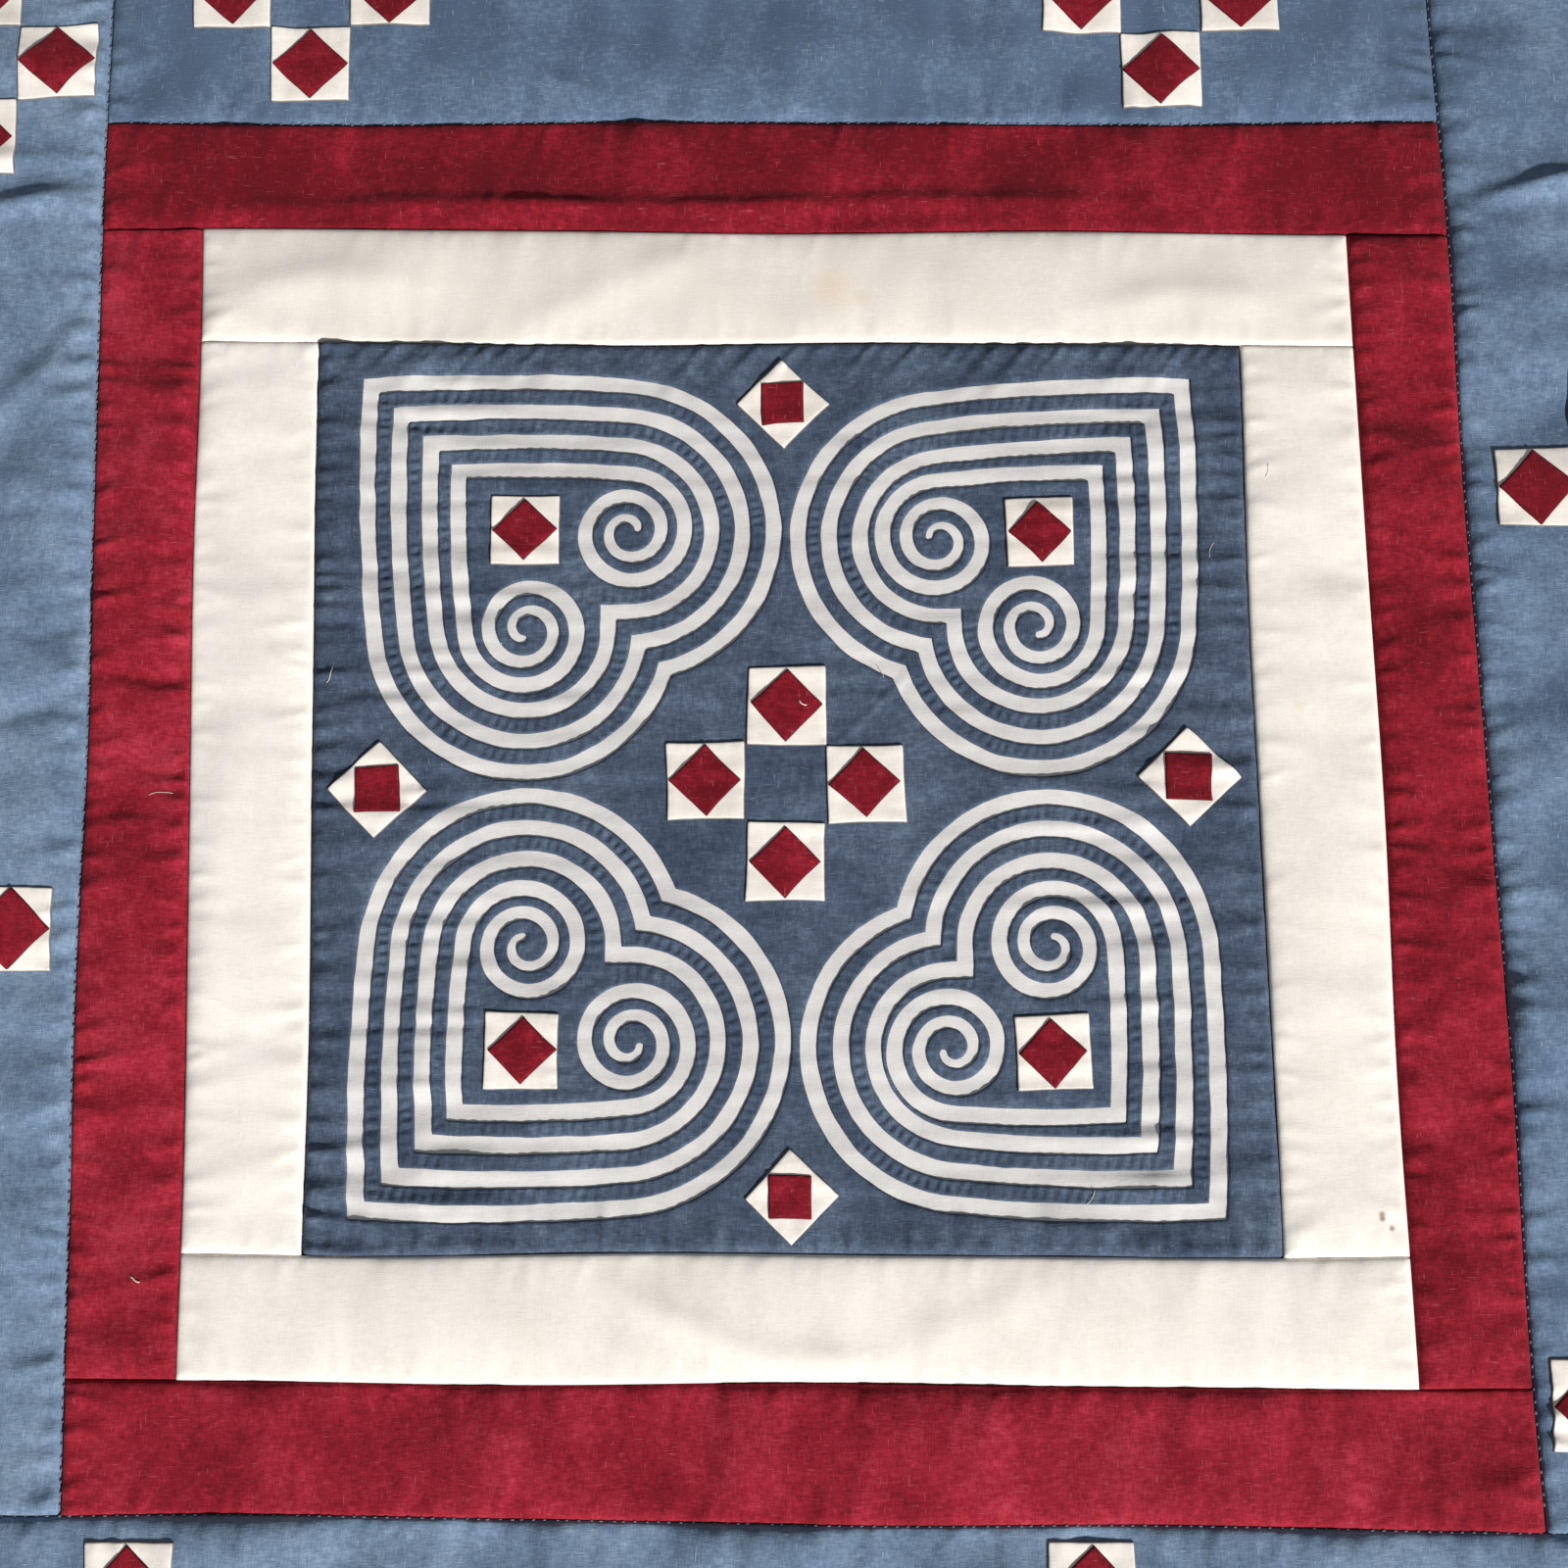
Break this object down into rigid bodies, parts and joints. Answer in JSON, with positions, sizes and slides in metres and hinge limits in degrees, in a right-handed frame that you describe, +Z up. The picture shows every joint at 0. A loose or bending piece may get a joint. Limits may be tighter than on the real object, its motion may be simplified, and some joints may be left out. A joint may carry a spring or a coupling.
{
  "type": "quilt",
  "caption": "Square quilt block lying flat: slit blue cloth showing white hearts and spirals, sewn-on squares, and cream, red and blue strips pieced round it.",
  "frame": {"origin": "middle of the quilt's outline, on the surface that it lies on", "axes": "+Z up from the underside through the face, +X to the right and +Y to the top of the pattern as in the picture"},
  "size_m": [0.5402, 0.5398, 0.0062],
  "materials": {
    "white_cotton": "matt plain-weave cotton, cool white",
    "cream_cotton": "matt plain-weave cotton, warm cream",
    "red_cotton": "matt plain-weave cotton, crimson",
    "deep_blue_cotton": "matt plain-weave cotton, slate blue",
    "light_blue_cotton": "matt plain-weave cotton, washed blue"
  },
  "bodies": {
    "root": {"white_ground": "white_cotton", "blue_field": "deep_blue_cotton", "blue_ring_1_upper_left": "deep_blue_cotton", "blue_ring_2_upper_left": "deep_blue_cotton", "blue_core_upper_left": "deep_blue_cotton", "blue_ring_1_upper_right": "deep_blue_cotton", "blue_ring_2_upper_right": "deep_blue_cotton", "blue_core_upper_right": "deep_blue_cotton", "blue_ring_1_lower_left": "deep_blue_cotton", "blue_ring_2_lower_left": "deep_blue_cotton", "blue_core_lower_left": "deep_blue_cotton", "blue_ring_1_lower_right": "deep_blue_cotton", "blue_ring_2_lower_right": "deep_blue_cotton", "blue_core_lower_right": "deep_blue_cotton", "cream_strip_top": "cream_cotton", "cream_strip_bottom": "cream_cotton", "cream_strip_left": "cream_cotton", "cream_strip_right": "cream_cotton", "red_strip_top": "red_cotton", "red_strip_bottom": "red_cotton", "red_strip_left": "red_cotton", "red_strip_right": "red_cotton", "blue_strip_top": "light_blue_cotton", "blue_strip_bottom": "light_blue_cotton", "blue_strip_left": "light_blue_cotton", "blue_strip_right": "light_blue_cotton", "cream_square_heart_upper_left": "cream_cotton", "red_square_heart_upper_left": "red_cotton", "cream_square_heart_upper_right": "cream_cotton", "red_square_heart_upper_right": "red_cotton", "cream_square_heart_lower_left": "cream_cotton", "red_square_heart_lower_left": "red_cotton", "cream_square_heart_lower_right": "cream_cotton", "red_square_heart_lower_right": "red_cotton", "cream_square_side_top": "cream_cotton", "red_square_side_top": "red_cotton", "cream_square_side_left": "cream_cotton", "red_square_side_left": "red_cotton", "cream_square_side_right": "cream_cotton", "red_square_side_right": "red_cotton", "cream_square_side_bottom": "cream_cotton", "red_square_side_bottom": "red_cotton", "cream_square_centre_top": "cream_cotton", "red_square_centre_top": "red_cotton", "cream_square_centre_left": "cream_cotton", "red_square_centre_left": "red_cotton", "cream_square_centre_right": "cream_cotton", "red_square_centre_right": "red_cotton", "cream_square_centre_bottom": "cream_cotton", "red_square_centre_bottom": "red_cotton", "cream_cross_top_left": "cream_cotton", "cream_cross_top_right": "cream_cotton", "cream_cross_left_upper": "cream_cotton", "cream_cross_left_lower": "cream_cotton", "cream_cross_right_upper": "cream_cotton", "cream_cross_right_lower": "cream_cotton", "cream_cross_bottom_left": "cream_cotton", "cream_cross_bottom_right": "cream_cotton"}
  },
  "joints": []
}
